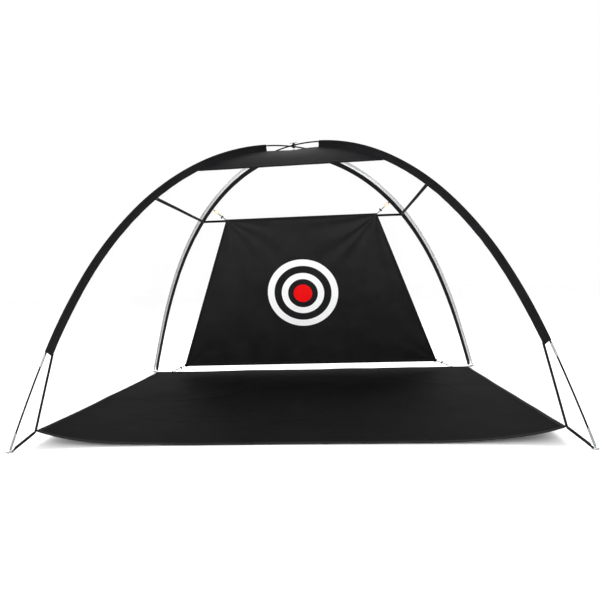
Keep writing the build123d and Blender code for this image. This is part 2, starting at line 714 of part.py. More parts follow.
def build_parts():
    os.makedirs("parts", exist_ok=True)
    for pole in ARCHES:
        write(f"pole_{pole}_sections", *pole_sections(pole))
        write(f"pole_{pole}_ferrules", *ferrules(pole))
    write("shock_cords", *[shock_cord(pole) for pole in ARCHES])
    for corner in CORNERS:
        write(f"pole_tip_{corner}", pole_tip(corner))
    write("corner_pins", *[corner_pin(corner) for corner in CORNERS])
    write("corner_rings", *[corner_ring(corner) for corner in CORNERS])
    for end in ("front", "rear"):
        write(f"{end}_corner_straps", *[corner_strap(f"{end}_{side}") for side in SIDES])
    for side in SIDES:
        write(f"front_sleeve_{side}", *sleeve(f"front_{side}", FRONT_SLEEVE_END, FRONT_SLEEVE_DEEP))
        write(f"rear_sleeve_{side}", *sleeve(f"rear_{side}", REAR_SLEEVE_END, REAR_SLEEVE_DEEP))
        write(f"rear_seam_tape_{side}", *seam_tape(f"rear_{side}"))
        sx = SIDES[side]
        write(f"net_{side}", *net_panel((sx, 0), FRONT_SLEEVE_END), net_skirt(sx))
        write(f"level_tape_{side}", level_tape((sx, 0)))
    write("net_back", *net_panel((0, 1), BACK_NET_END), back_skirt())
    write("level_tape_back", level_tape((0, 1)))
    write("net_edge_tapes", *[net_edge_tape(sx) for sx in SIDES.values()])
    write("canopy", *canopy())
    write("canopy_hem", canopy_hem())
    write("crown_tie", crown_tie())
    write("floor_sheet", floor_sheet())
    write("floor_binding", *floor_binding())
    write("target_sheet", target_sheet())
    write("target_binding", target_binding())
    write("target_eyelets", *target_eyelets())
    for tie in TIES:
        write(f"elastic_cord_{tie}", elastic_cord(tie))
        write(f"cord_lock_{tie}", lock_body(tie))
        write(f"lock_plunger_{tie}", lock_plunger(tie))
        write(f"hook_{tie}", hook(tie))
        write(f"hook_gate_{tie}", hook_gate(tie))
    write("hook_loops", *[hook_loop(tie) for tie in TIES])


build_parts()
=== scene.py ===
import json
import math

import bpy
import numpy as np
from mathutils import Matrix, Vector, noise


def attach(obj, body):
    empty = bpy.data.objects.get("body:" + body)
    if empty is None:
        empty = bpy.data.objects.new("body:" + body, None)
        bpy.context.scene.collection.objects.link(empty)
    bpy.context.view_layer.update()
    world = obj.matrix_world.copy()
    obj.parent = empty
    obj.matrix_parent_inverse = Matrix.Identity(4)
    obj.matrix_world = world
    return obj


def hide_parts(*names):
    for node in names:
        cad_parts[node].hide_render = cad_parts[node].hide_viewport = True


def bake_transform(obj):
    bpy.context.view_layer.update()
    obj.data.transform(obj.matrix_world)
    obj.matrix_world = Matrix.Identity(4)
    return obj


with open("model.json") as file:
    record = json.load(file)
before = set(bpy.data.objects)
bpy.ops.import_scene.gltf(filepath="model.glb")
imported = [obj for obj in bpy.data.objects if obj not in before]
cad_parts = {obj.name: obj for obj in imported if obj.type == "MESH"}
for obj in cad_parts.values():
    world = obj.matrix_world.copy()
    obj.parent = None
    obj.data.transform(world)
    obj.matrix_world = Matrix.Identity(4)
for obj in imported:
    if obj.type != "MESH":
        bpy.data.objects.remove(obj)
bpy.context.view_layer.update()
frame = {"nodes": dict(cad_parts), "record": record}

# The object's driving sizes in metres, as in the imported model.
HALF_W, HALF_D = 1.5, 1.0
HEIGHT = 1.8
SECTIONS = 11
POLE_D = 0.0095
FOOT_Z = 0.014
CROSS_LIFT = (POLE_D + 0.0006) / 2
SLEEVE_START = 0.080
FRONT_SLEEVE_END = 0.800
REAR_SLEEVE_END = 0.984
REAR_TAPE_END = 0.992
FRONT_DEEP = 0.038
REAR_DEEP = 0.024
TAPE_DEEP = 0.058
NET_DEEP = 0.042
CANOPY_END = 0.275
LEVEL_TAPE_SHARE = 0.412
LEVEL_TAPE_FRONT = 0.399
TAPE_OFF_NET = 0.010
SLEEVE_SLANT = 0.0065
FLOOR_FRONT = Vector((1.400, 0.930, 0.085))
FLOOR_REAR = Vector((1.450, 0.965, 0.0))
TARGET_TOP = Vector((0.615, 0.497, 1.366))
TARGET_FOOT = Vector((1.157, 0.890, 0.072))

HALF_SPAN = math.hypot(HALF_W, HALF_D)
ALONG_X, ALONG_Y = HALF_W / HALF_SPAN, HALF_D / HALF_SPAN
CORNERS = {"front_left": (-1, -1), "front_right": (1, -1), "rear_left": (-1, 1), "rear_right": (1, 1)}
LOW_POLE = ("front_left", "rear_right")
SIDES = {"left": -1, "right": 1}
EDGE_RUNS = (((0, 0), (1, 0)), ((1, 0), (1, 1)), ((1, 1), (0, 1)), ((0, 1), (0, 0)))   # round a sheet


# ---------------------------------------------------------------- the arch

class Arch:
    """Half a bent pole: equal sections, each one arc, with a slope that grows as a sine."""

    def __init__(self, crown_z):
        self.joints = [(2 * k + 1) / SECTIONS for k in range((SECTIONS - 1) // 2)] + [1.0]
        low, high = math.radians(30), math.radians(89)
        for _ in range(60):
            self.foot_slope = (low + high) / 2
            r, z, _slope = self.walk(1.0, 1.0, 0.0)
            if -z / r > (crown_z - FOOT_Z) / HALF_SPAN:
                high = self.foot_slope
            else:
                low = self.foot_slope
        self.half_length = HALF_SPAN / r
        self.crown_z = crown_z

    def walk(self, station, half_length, crown_z):
        r, z, here, slope = 0.0, crown_z, 0.0, 0.0
        for joint in self.joints:
            end = min(joint, station)
            joint_slope = self.foot_slope * math.sin(joint * math.pi / 2)
            end_slope = slope + (joint_slope - slope) * (end - here) / (joint - here)
            half_turn = (end_slope - slope) / 2
            chord = (end - here) * half_length * (math.sin(half_turn) / half_turn if half_turn else 1)
            r += chord * math.cos(slope + half_turn)
            z -= chord * math.sin(slope + half_turn)
            here, slope = end, end_slope
            if end >= station:
                break
        return r, z, slope

    def point(self, station, inward=0.0):
        r, z, slope = self.walk(station, self.half_length, self.crown_z)
        return r - inward * math.sin(slope), z - inward * math.cos(slope)


LOW_ARCH, HIGH_ARCH = Arch(HEIGHT - CROSS_LIFT), Arch(HEIGHT + CROSS_LIFT)


def place(corner, r, z, across=0.0):
    sx, sy = CORNERS[corner]
    return Vector((sx * ALONG_X * r - sy * ALONG_Y * across, sy * ALONG_Y * r + sx * ALONG_X * across, z))


def on_arch(corner, station, inward=0.0, across=0.0):
    arch = LOW_ARCH if corner in LOW_POLE else HIGH_ARCH
    return place(corner, *arch.point(station, inward), across)


# ---------------------------------------------------------------- mesh helpers

def mesh_object(name, verts, faces, smooth=True):
    mesh = bpy.data.meshes.new(name)
    mesh.from_pydata([tuple(v) for v in verts], [], faces)
    mesh.validate()
    mesh.update()
    mesh.polygons.foreach_set("use_smooth", [smooth] * len(mesh.polygons))
    obj = bpy.data.objects.new(name, mesh)
    bpy.context.scene.collection.objects.link(obj)
    return obj


def finish_piece(obj, slot, body="root", replaces=(), material=None):
    """Give a piece its material (the slot's own, unless another is named) and its body, and hide the CAD nodes
    it replaces.
    """
    obj.data.materials.clear()
    obj.data.materials.append(MATERIALS[material or slot])
    if body:
        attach(obj, body)
    if replaces:
        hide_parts(*replaces)


def loft(name, rings, closed_path=False):
    """Skin through rings of equally many points; open paths get flat caps."""
    count = len(rings[0])
    verts = [p for ring in rings for p in ring]
    faces = []
    spans = len(rings) if closed_path else len(rings) - 1
    for i in range(spans):
        a, b = i * count, ((i + 1) % len(rings)) * count
        for j in range(count):
            k = (j + 1) % count
            faces.append((a + j, a + k, b + k, b + j))
    if not closed_path:
        faces.append(tuple(range(count - 1, -1, -1)))
        last = (len(rings) - 1) * count
        faces.append(tuple(range(last, last + count)))
    return mesh_object(name, verts, faces)


def band_rings(points, widths, normals, width, thick):
    """Rounded flat cross-sections along points: widths and normals are unit vectors at each."""
    rings = []
    w, t = width / 2, thick / 2
    for p, a, n in zip(points, widths, normals):
        outline = [(-w + t * 0.6, -t), (w - t * 0.6, -t), (w, -t * 0.3), (w, t * 0.3),
                   (w - t * 0.6, t), (-w + t * 0.6, t), (-w, t * 0.3), (-w, -t * 0.3)]
        rings.append([p + a * x + n * y for x, y in outline])
    return rings


def straight_band(start, end, across, width, thick, steps=40, wave=0.0, seed=0.0):
    """Points and directions of a flat tape from start to end, very slightly uneven."""
    start, end = Vector(start), Vector(end)
    along = (end - start).normalized()
    across = (across - along * across.dot(along)).normalized()
    normal = along.cross(across)
    points = []
    for i in range(steps + 1):
        s = i / steps
        drift = noise.noise(Vector((s * 7, seed, 0.3))) * wave * math.sin(math.pi * s) ** 0.5
        points.append(start.lerp(end, s) + normal * drift)
    return band_rings(points, [across] * len(points), [normal] * len(points), width, thick)


def join(objs, name):
    """One piece out of several meshes."""
    verts, faces = [], []
    for o in objs:
        base = len(verts)
        verts += [v.co.copy() for v in o.data.vertices]
        faces += [tuple(base + i for i in p.vertices) for p in o.data.polygons]
        mesh = o.data
        bpy.data.objects.remove(o)
        bpy.data.meshes.remove(mesh)
    return mesh_object(name, verts, faces)


def solidify(obj, thickness):
    """Give an open sheet its cloth thickness, centred on it."""
    modifier = obj.modifiers.new("thickness", "SOLIDIFY")
    modifier.thickness = thickness
    modifier.offset = 0.0
    modifier.use_even_offset = True
    apply_modifiers(obj)
    return obj


def apply_modifiers(obj):
    depsgraph = bpy.context.evaluated_depsgraph_get()
    mesh = bpy.data.meshes.new_from_object(obj.evaluated_get(depsgraph))
    old = obj.data
    obj.modifiers.clear()
    obj.data = mesh
    bpy.data.meshes.remove(old)
    mesh.name = obj.name


def grid_sheet(name, point_at, nu, nv):
    """Open sheet over the unit square: point_at(u, v) gives each vertex."""
    verts = [point_at(i / nu, j / nv) for j in range(nv + 1) for i in range(nu + 1)]
    faces = []
    for j in range(nv):
        for i in range(nu):
            a = j * (nu + 1) + i
            faces.append((a, a + 1, a + nu + 2, a + nu + 1))
    return mesh_object(name, verts, faces)


def path_tangents(points, closed=False):
    last = len(points) - 1
    after = points[1:] + [points[0] if closed else points[last]]
    before = [points[last] if closed else points[0]] + points[:-1]
    return [(b - a).normalized() for a, b in zip(before, after)]


def tube_rings(points, radius, sides, closed=False):
    """Round cross-sections along points, carried along without twist."""
    tangents = path_tangents(points, closed)
    normal = tangents[0].orthogonal().normalized()
    rings = []
    for p, t in zip(points, tangents):
        normal = (normal - t * normal.dot(t)).normalized()
        side = t.cross(normal)
        rings.append([p + (normal * math.cos(a) + side * math.sin(a)) * radius
                      for a in (2 * math.pi * k / sides for k in range(sides))])
    return rings


# ---------------------------------------------------------------- materials

MATERIALS = {}
WAVE_SCALE = 0.3142           # a wave texture of this scale repeats once a metre


def node_material(name):
    """A new material under its slot's name, with its node tree and shader."""
    material = bpy.data.materials.new(name)
    material.use_nodes = True
    MATERIALS[name] = material
    return material.node_tree, material.node_tree.nodes["Principled BSDF"]


def feed(tree, node, values):
    """Set each named input or property, or link the socket that is given for it."""
    for name, value in values.items():
        if isinstance(value, bpy.types.NodeSocket):
            tree.links.new(value, node.inputs[name])
        elif name in node.inputs:
            node.inputs[name].default_value = value
        else:
            setattr(node, name, value)
    return node


def add_node(tree, kind, **values):
    return feed(tree, tree.nodes.new(kind), values)


def object_coords(tree, output="Object"):
    return add_node(tree, "ShaderNodeTexCoord").outputs[output]


def noise_node(tree, coords, scale, detail, rough=0.6, distortion=0.0):
    return add_node(tree, "ShaderNodeTexNoise", Vector=coords, Scale=scale, Detail=detail,
                    Roughness=rough, Distortion=distortion).outputs["Fac"]


def bump_node(tree, height, strength, distance, **below):
    return add_node(tree, "ShaderNodeBump", Height=height, Strength=strength, Distance=distance,
                    **below).outputs["Normal"]


def ramp(tree, source, low, high, low_at=0.3, high_at=0.7):
    node = add_node(tree, "ShaderNodeValToRGB", Fac=source)
    for element, place_at, colour in zip(node.color_ramp.elements, (low_at, high_at), (low, high)):
        element.position = place_at
        element.color = (*colour, 1)
    return node.outputs["Color"]


def math_node(tree, operation, *values):
    node = add_node(tree, "ShaderNodeMath", operation=operation)
    for socket, value in zip(node.inputs, values):
        if isinstance(value, bpy.types.NodeSocket):
            tree.links.new(value, socket)
        else:
            socket.default_value = value
    return node.outputs[0]


def weighted(tree, a, share_a, b, share_b):
    return math_node(tree, "ADD", math_node(tree, "MULTIPLY", a, share_a),
                     math_node(tree, "MULTIPLY", b, share_b))


def weave_height(tree, coords, thread):
    """Plain weave relief from crossed thread waves."""
    waves = [feed(tree, tree.nodes.new("ShaderNodeTexWave"),
                  {"wave_type": "BANDS", "bands_direction": axis, "wave_profile": "SIN", "Vector": coords,
                   "Scale": WAVE_SCALE / thread, "Distortion": 0.6, "Detail": 1.0}).outputs["Fac"]
             for axis in ("X", "Y", "Z")]
    total = math_node(tree, "ADD", math_node(tree, "ADD", waves[0], waves[1]), waves[2])
    return math_node(tree, "MULTIPLY", total, 0.333)


def cloth_material(name, dark, light, roughness, sheen, thread=0.0007, relief=0.00025, patch=5.0,
                   specular=0.10):
    """Woven cloth: thread relief, soft creases, and slow patches of tone."""
    tree, bsdf = node_material(name)
    coords = object_coords(tree)
    weave = weave_height(tree, coords, thread)
    patches = noise_node(tree, coords, patch, 5.0)
    creases = noise_node(tree, coords, 14.0, 6.0, 0.55, 0.4)
    rough = feed(tree, tree.nodes.new("ShaderNodeMapRange"),
                 {"Value": patches, "To Min": roughness - 0.06, "To Max": roughness + 0.06})
    soft = bump_node(tree, creases, 0.35, 0.004)
    feed(tree, bsdf, {"Base Color": ramp(tree, weighted(tree, weave, 0.35, patches, 0.75), dark, light),
                      "Roughness": rough.outputs["Result"],
                      "Normal": bump_node(tree, weave, 0.7, relief, Normal=soft),
                      "Sheen Weight": sheen, "Sheen Roughness": 0.35, "Specular IOR Level": specular})


def metal_material(name, colour, roughness, stain=0.3):
    """Drawn or plated metal: fine scratches, duller patches."""
    tree, bsdf = node_material(name)
    coords = object_coords(tree)
    fine = noise_node(tree, coords, 900.0, 4.0, 0.7)
    slow = noise_node(tree, coords, 60.0, 5.0)
    dull = tuple(c * (1 - stain) for c in colour)
    wear = weighted(tree, fine, 0.12, slow, 0.16)
    feed(tree, bsdf, {"Base Color": ramp(tree, slow, dull, colour, 0.32, 0.6),
                      "Roughness": math_node(tree, "ADD", wear, roughness - 0.12),
                      "Normal": bump_node(tree, fine, 0.06, 0.0001), "Metallic": 1.0})


def plastic_material(name, dark, light, roughness, specular=0.5):
    """Moulded or pultruded plastic with a fine surface grain."""
    tree, bsdf = node_material(name)
    coords = object_coords(tree)
    fine = noise_node(tree, coords, 700.0, 3.0)
    slow = noise_node(tree, coords, 24.0, 4.0)
    rough = math_node(tree, "ADD", math_node(tree, "MULTIPLY", slow, 0.15), roughness - 0.07)
    feed(tree, bsdf, {"Base Color": ramp(tree, slow, dark, light), "Roughness": rough,
                      "Normal": bump_node(tree, fine, 0.25, 0.0002), "Specular IOR Level": specular})


def netting_material():
    """White knotless netting: a fine twist along the threads."""
    tree, bsdf = node_material("netting")
    coords = object_coords(tree)
    slow = noise_node(tree, coords, 40.0, 3.0)
    fine = noise_node(tree, coords, 1400.0, 2.0, 0.5)
    feed(tree, bsdf, {"Base Color": ramp(tree, slow, (0.86, 0.87, 0.88), (0.95, 0.95, 0.95)),
                      "Normal": bump_node(tree, fine, 0.3, 0.0002), "Roughness": 0.6, "Sheen Weight": 0.3})


def sleeve_mesh_material():
    """Fine pale mesh of the rear sleeves, through which the pole shows."""
    tree, bsdf = node_material("sleeve_mesh")
    coords = object_coords(tree)
    weave = weave_height(tree, coords, 0.0016)
    tone = weighted(tree, weave, 0.5, noise_node(tree, coords, 18.0, 4.0), 0.5)
    feed(tree, bsdf, {"Base Color": ramp(tree, tone, (0.28, 0.285, 0.30), (0.44, 0.445, 0.46)),
                      "Normal": bump_node(tree, weave, 0.6, 0.0004), "Roughness": 0.65, "Alpha": 0.55})


plastic_material("pole_fibreglass", (0.002, 0.002, 0.0025), (0.006, 0.006, 0.0065), 0.5, specular=0.08)
plastic_material("lock_plastic", (0.008, 0.008, 0.009), (0.018, 0.018, 0.019), 0.5)
plastic_material("thread_black", (0.010, 0.010, 0.011), (0.022, 0.022, 0.023), 0.5, specular=0.25)
metal_material("ferrule_steel", (0.36, 0.37, 0.38), 0.40)
metal_material("tip_steel", (0.27, 0.29, 0.285), 0.42)
metal_material("pin_steel", (0.27, 0.29, 0.285), 0.40)
metal_material("eyelet_brass", (0.05, 0.05, 0.052), 0.4)
metal_material("hook_brass", (0.84, 0.54, 0.12), 0.26, stain=0.25)
cloth_material("elastic_cord", (0.004, 0.004, 0.004), (0.012, 0.012, 0.012), 0.7, 0.02,
               thread=0.0009, relief=0.0005, patch=60.0)
cloth_material("webbing", (0.003, 0.003, 0.003), (0.009, 0.009, 0.009), 0.74, 0.01,
               thread=0.0012, relief=0.0006, patch=30.0, specular=0.1)
cloth_material("canopy_cloth", (0.005, 0.005, 0.0055), (0.012, 0.012, 0.013), 0.86, 0.01, specular=0.04)
cloth_material("binding_tape", (0.003, 0.003, 0.003), (0.008, 0.008, 0.008), 0.75, 0.02,
               thread=0.0010, relief=0.0005, patch=30.0)
cloth_material("floor_cloth", (0.002, 0.002, 0.002), (0.005, 0.005, 0.0055), 0.70, 0.0,
               patch=2.5, specular=0.03)
cloth_material("target_hem", (0.005, 0.005, 0.006), (0.011, 0.011, 0.012), 0.62, 0.03, patch=20.0)
netting_material()
sleeve_mesh_material()


# ---------------------------------------------------------------- sleeves and seam tapes

def sleeve_piece(corner, end, deep, slot, node):
    """Cloth tube round a pole, its plies closed below the pole, with small puckers."""
    seed = sum(ord(c) for c in corner)
    steps, slant_steps = 260, 14
    tube_r, ply = 0.0078, 0.0011
    angles = [math.radians(52 + 256 * k / 12) for k in range(13)]
    half_neck = [(0.010, 0.0042), (0.015, 0.0019), (deep - 0.004, ply), (deep, ply * 0.9)]
    profile = [(math.cos(a) * tube_r, math.sin(a) * tube_r) for a in angles]
    profile += [(x, -y) for x, y in half_neck] + half_neck[::-1]
    rings = []
    for i in range(steps + 1):
        s = SLEEVE_START + (end - SLEEVE_START) * i / steps
        last = max(0.0, 1 - (steps - i) / slant_steps) if corner.startswith("front") else 0.0
        ring = []
        for x, y in profile:
            lean = max(x, 0.0) / deep
            station = s + SLEEVE_SLANT * lean * last
            ripple = noise.noise(Vector((s * 60, seed, x * 30))) * 0.0012 * lean
            drape = noise.noise(Vector((s * 9, seed + 5, 0))) * 0.0028 * lean ** 2
            pull = 0.0012 * noise.noise(Vector((s * 45, seed + 9, 1))) * (1 if x > deep * 0.8 else 0)
            ring.append(on_arch(corner, station, x + pull, y + ripple + drape))
        rings.append(ring)
    finish_piece(loft(f"{node}_cloth", rings), slot, replaces=[node])


def arch_band(corner, start, end, inner, outer, thick):
    """Tape that follows an arch, in the pole's upright plane, very slightly uneven."""
    seed = sum(ord(c) for c in corner) + 40
    steps, wave = 240, 0.0012
    points, widths, normals = [], [], []
    for i in range(steps + 1):
        s = start + (end - start) * i / steps
        a, b = on_arch(corner, s, inner), on_arch(corner, s, outer)
        normal = (on_arch(corner, s, inner, 0.001) - a).normalized()
        drift = noise.noise(Vector((s * 30, seed, 2))) * wave
        points.append((a + b) / 2 + normal * drift)
        widths.append((b - a).normalized())
        normals.append(normal)
    return band_rings(points, widths, normals, outer - inner, thick)


for side in SIDES:
    front, rear = f"front_{side}", f"rear_{side}"
    sleeve_piece(front, FRONT_SLEEVE_END, FRONT_DEEP, "canopy_cloth", f"front_sleeve_{side}")
    sleeve_piece(rear, REAR_SLEEVE_END, REAR_DEEP, "sleeve_mesh", f"rear_sleeve_{side}")
    tape = loft(f"rear_seam_binding_{side}",
                arch_band(rear, SLEEVE_START, REAR_TAPE_END, REAR_DEEP - 0.002, TAPE_DEEP, 0.0030))
    finish_piece(tape, "binding_tape", replaces=[f"rear_seam_tape_{side}"])


# ---------------------------------------------------------------- canopy

CLOTH_THICK = 0.0012
CANOPY_START = 0.004
HEM_WIDTH, HEM_THICK = 0.022, 0.0026


def canopy_point(u, v):
    """A point on the cloth stretched level between the two front seams, with a slight sag and folds."""
    s, deep = CANOPY_START + (CANOPY_END - CANOPY_START) * v, FRONT_DEEP - 0.002
    p = on_arch("front_left", s, deep).lerp(on_arch("front_right", s, deep), u)
    middle = math.sin(math.pi * u)
    sag = 0.010 * middle * math.sin(math.pi * v) ** 1.2
    fold = 0.0022 * math.sin(46 * u + 3 * v) * (1 - v) * middle
    crease = noise.noise(Vector((u * 7, v * 3, 4.2))) * 0.004 * middle
    p.z -= sag + fold * v + crease * 0.6
    return p


def canopy_piece():
    obj = grid_sheet("canopy_cloth", canopy_point, 120, 50)
    solidify(obj, CLOTH_THICK)
    finish_piece(obj, "canopy_cloth", replaces=["canopy"])


canopy_piece()


def canopy_hem_line():
    """Ends of the canopy's front edge, and the way down the cloth there."""
    left = on_arch("front_left", CANOPY_END, FRONT_DEEP - 0.002)
    right = on_arch("front_right", CANOPY_END, FRONT_DEEP - 0.002)
    down = on_arch("front_left", CANOPY_END + 0.01, FRONT_DEEP) - left
    down.x = 0
    return left + Vector((0.004, 0, 0)), right - Vector((0.004, 0, 0)), down.normalized()


def canopy_hem_piece():
    left, right, down = canopy_hem_line()
    back = down * 0.006
    rings = straight_band(left - back, right - back, down, HEM_WIDTH, HEM_THICK, 80, 0.002, 3.1)
    finish_piece(loft("canopy_front_hem", rings), "canopy_cloth", replaces=["canopy_hem"])


canopy_hem_piece()


# ---------------------------------------------------------------- nets

def seam_point(corner, station, deep, foot):
    """Edge of a net: along its seam, and below the front sleeve straight down to the floor sheet."""
    if corner.startswith("rear") or station <= FRONT_SLEEVE_END:
        return on_arch(corner, station, deep)
    end = on_arch(corner, FRONT_SLEEVE_END, deep)
    return end.lerp(Vector(foot), (station - FRONT_SLEEVE_END) / (1 - FRONT_SLEEVE_END))


NET_CELL = 0.022              # side of one diamond
THREAD_R = 0.00045
NET_SLACK = 0.03
NET_START = 0.03              # down the panel from the crown, under the lashing


class NetPanel:
    """Netting between two seams: level distance u from the middle, distance v down the panel."""

    def __init__(self, corner_a, corner_b, foot_a, foot_b, stations):
        edges = []
        for corner, foot in ((corner_a, foot_a), (corner_b, foot_b)):
            deep = (FRONT_DEEP if corner.startswith("front") else REAR_DEEP) - 0.002
            edges.append(np.array([seam_point(corner, s, deep, foot) for s in stations] + [Vector(foot)]))
        self.left, self.right = edges
        middle = (self.left + self.right) / 2
        steps = np.linalg.norm(np.diff(middle, axis=0), axis=1)
        self.down = np.concatenate([[0.0], np.cumsum(steps)])
        self.half = np.linalg.norm(self.right - self.left, axis=1) / 2
        self.total = self.down[-1]
        self.held = self.down[np.argmin(np.abs(np.array(stations) - LEVEL_TAPE_SHARE))]

    def within(self, u, v):
        return (np.abs(u) <= np.interp(v, self.down, self.half)) & (v <= self.total) & (v > NET_START)

    def points(self, u, v):
        """Places in space, with a little slack inward above and below the level tape."""
        k = np.clip(np.searchsorted(self.down, v, side="right") - 1, 0, len(self.down) - 2)
        f = ((v - self.down[k]) / (self.down[k + 1] - self.down[k]))[:, None]
        a = self.left[k] * (1 - f) + self.left[k + 1] * f
        b = self.right[k] * (1 - f) + self.right[k + 1] * f
        h = np.interp(v, self.down, self.half)
        t = np.clip(0.5 + u / (2 * np.maximum(h, 1e-4)), 0, 1)[:, None]
        p = a * (1 - t) + b * t
        inward = -p
        inward[:, 2] = -0.35 * np.abs(p[:, 2])
        inward /= np.maximum(np.linalg.norm(inward, axis=1), 1e-6)[:, None]
        above, below = v / self.held, (v - self.held) / (self.total - self.held)
        lobe = np.sin(math.pi * np.clip(np.where(v < self.held, above, below), 0, 1))
        ripple = 1 + 0.25 * np.sin(5.1 * u + 1.7 * v) * np.sin(3.3 * v - 2.1 * u)
        return p + inward * (NET_SLACK * np.sin(math.pi * t[:, 0]) * lobe * ripple)[:, None]

    def cut_at_edge(self, inner, outer):
        """How far from inner to outer a thread reaches before it leaves the panel."""
        low, high = 0.0, 1.0
        for _ in range(12):
            share = (low + high) / 2
            if self.within(*(inner + (outer - inner) * share)):
                low = share
            else:
                high = share
        return inner + (outer - inner) * low

    def segments(self):
        """Pieces of thread between crossings, both ways, as pairs of (u, v)."""
        found = []
        pitch = NET_CELL / math.sqrt(2)
        reach = int((max(self.half) + self.total) / (2 * pitch)) + 3
        v = np.arange(0, self.total + pitch, pitch)
        for slant in (1, -1):
            for line in range(-2 * reach, 2 * reach + 1):
                u = slant * v + line * 2 * pitch
                inside = self.within(u, v)
                knots = np.stack([u, v], axis=1)
                for i in np.flatnonzero(inside[:-1] | inside[1:]):
                    p, q = knots[i], knots[i + 1]
                    if inside[i] and inside[i + 1]:
                        found.append((p, q))
                    elif inside[i]:
                        found.append((p, self.cut_at_edge(p, q)))
                    else:
                        found.append((q, self.cut_at_edge(q, p)))
        return np.array(found)


def net_piece(name, panel, node):
    """Every thread of the panel as a thin three-sided prism."""
    found = panel.segments()
    a, b = (panel.points(found[:, end, 0], found[:, end, 1]) for end in (0, 1))
    length = np.linalg.norm(b - a, axis=1)
    keep = length > 0.002
    a, b, length = a[keep], b[keep], length[keep]
    along = (b - a) / length[:, None]
    outward = (a + b) / 2 + np.array([0, 0, 0.01])
    side = np.cross(along, outward)
    side /= np.linalg.norm(side, axis=1)[:, None]
    up = np.cross(side, along)
    verts = np.empty((len(a), 6, 3))
    for k, angle in enumerate((math.pi / 2, math.pi * 7 / 6, math.pi * 11 / 6)):
        offset = (side * math.cos(angle) + up * math.sin(angle)) * THREAD_R
        verts[:, k] = a - along * THREAD_R * 0.4 + offset
        verts[:, k + 3] = b + along * THREAD_R * 0.4 + offset
    first = np.arange(len(a))[:, None] * 6
    faces = []
    for face in ((0, 1, 4, 3), (1, 2, 5, 4), (2, 0, 3, 5), (2, 1, 0), (3, 4, 5)):
        faces += (first + np.array(face)).tolist()
    finish_piece(mesh_object(name, verts.reshape(-1, 3), faces, smooth=False), "netting", replaces=[node])


NET_STATIONS = [0.985 * (i + 0.5) / 60 for i in range(60)] + [0.985]
for side, sx in SIDES.items():
    foot_front = (sx * (FLOOR_FRONT.x - 0.004), -FLOOR_FRONT.y, FLOOR_FRONT.z + 0.003)
    foot_rear = (sx * (FLOOR_REAR.x - 0.006), FLOOR_REAR.y - 0.01, 0.006)
    side_net = NetPanel(f"front_{side}", f"rear_{side}", foot_front, foot_rear, NET_STATIONS)
    net_piece(f"net_{side}_threads", side_net, f"net_{side}")
back_net = NetPanel("rear_left", "rear_right", (-1.44, 0.962, 0.006), (1.44, 0.962, 0.006), NET_STATIONS)
net_piece("net_back_threads", back_net, "net_back")


# ---------------------------------------------------------------- tapes on the nets

LEVEL_TAPE_WIDTH, LEVEL_TAPE_THICK = 0.020, 0.0016
EDGE_TAPE_WIDTH, EDGE_TAPE_THICK = 0.0125, 0.0020


def level_tape_piece(node, corner_a, corner_b):
    in_front = corner_a.startswith("front")
    a = on_arch(corner_a, LEVEL_TAPE_FRONT, FRONT_DEEP - 0.004)
    start = on_arch(corner_a, LEVEL_TAPE_SHARE, NET_DEEP)
    if not in_front:
        a = start
    b = on_arch(corner_b, LEVEL_TAPE_SHARE, NET_DEEP)
    along = (b - a).normalized()
    down = on_arch(corner_a, LEVEL_TAPE_SHARE + 0.02, NET_DEEP) - start
    down -= along * down.dot(along)
    inward = along.cross(down).normalized() * TAPE_OFF_NET
    if inward.dot(a + b) > 0:
        inward = -inward
    a += inward * (0.1 if in_front else 1) + along * 0.002
    b += inward - along * 0.002
    rings = straight_band(a, b, down, LEVEL_TAPE_WIDTH, LEVEL_TAPE_THICK, 60, 0.004, len(node) * 1.3)
    finish_piece(loft(f"{node}_webbing", rings), "binding_tape", replaces=[node])


level_tape_piece("level_tape_left", "front_left", "rear_left")
level_tape_piece("level_tape_right", "front_right", "rear_right")
level_tape_piece("level_tape_back", "rear_left", "rear_right")


def net_edge_tapes():
    parts = []
    for side, sx in SIDES.items():
        top = on_arch(f"front_{side}", FRONT_SLEEVE_END + 0.001, FRONT_DEEP - 0.004)
        foot = Vector((sx * FLOOR_FRONT.x, -FLOOR_FRONT.y, FLOOR_FRONT.z + 0.004))
        facing = Vector((1, -0.42 * sx, 0))
        rings = straight_band(top, foot, facing, EDGE_TAPE_WIDTH, EDGE_TAPE_THICK, 30, 0.003, sx)
        parts.append(loft(f"edge_{side}", rings))
    finish_piece(join(parts, "net_front_edge_tapes"), "binding_tape", replaces=["net_edge_tapes"])


net_edge_tapes()


# ---------------------------------------------------------------- floor sheet

BINDING_WIDTH, BINDING_THICK = 0.022, 0.0024
FLOOR_LIFT = 0.0018           # middle of the cloth above the ground where it lies flat
FLOOR_BOW = 0.012             # how far the front edge curves back in its middle


def floor_half(v):
    return FLOOR_FRONT.x + (FLOOR_REAR.x - FLOOR_FRONT.x) * v


def floor_height(x, y, v):
    """Height of the sheet: the front corners hang from the straps, and the side edges run straight
    from there to the rear corners."""
    from_side = max(floor_half(v) - abs(x), 0.0)
    hang = FLOOR_FRONT.z * max(0.0, 1 - v) ** 1.1 * math.exp(-from_side / 0.23)
    buckle = noise.noise(Vector((x * 2.6, y * 3.4, 0.4))) * 0.0036
    buckle += noise.noise(Vector((x * 7, y * 6, 3.4))) * 0.0016
    ridge = abs(noise.noise(Vector((x * 1.7 + 0.8 * y, y * 2.3, 9.1))))
    buckle += 0.0045 * max(0.0, 1 - ridge / 0.035) * max(0.0, noise.noise(Vector((x, y, 2.2))) + 0.3)
    return hang + max(buckle + FLOOR_LIFT, 0.0) + FLOOR_LIFT


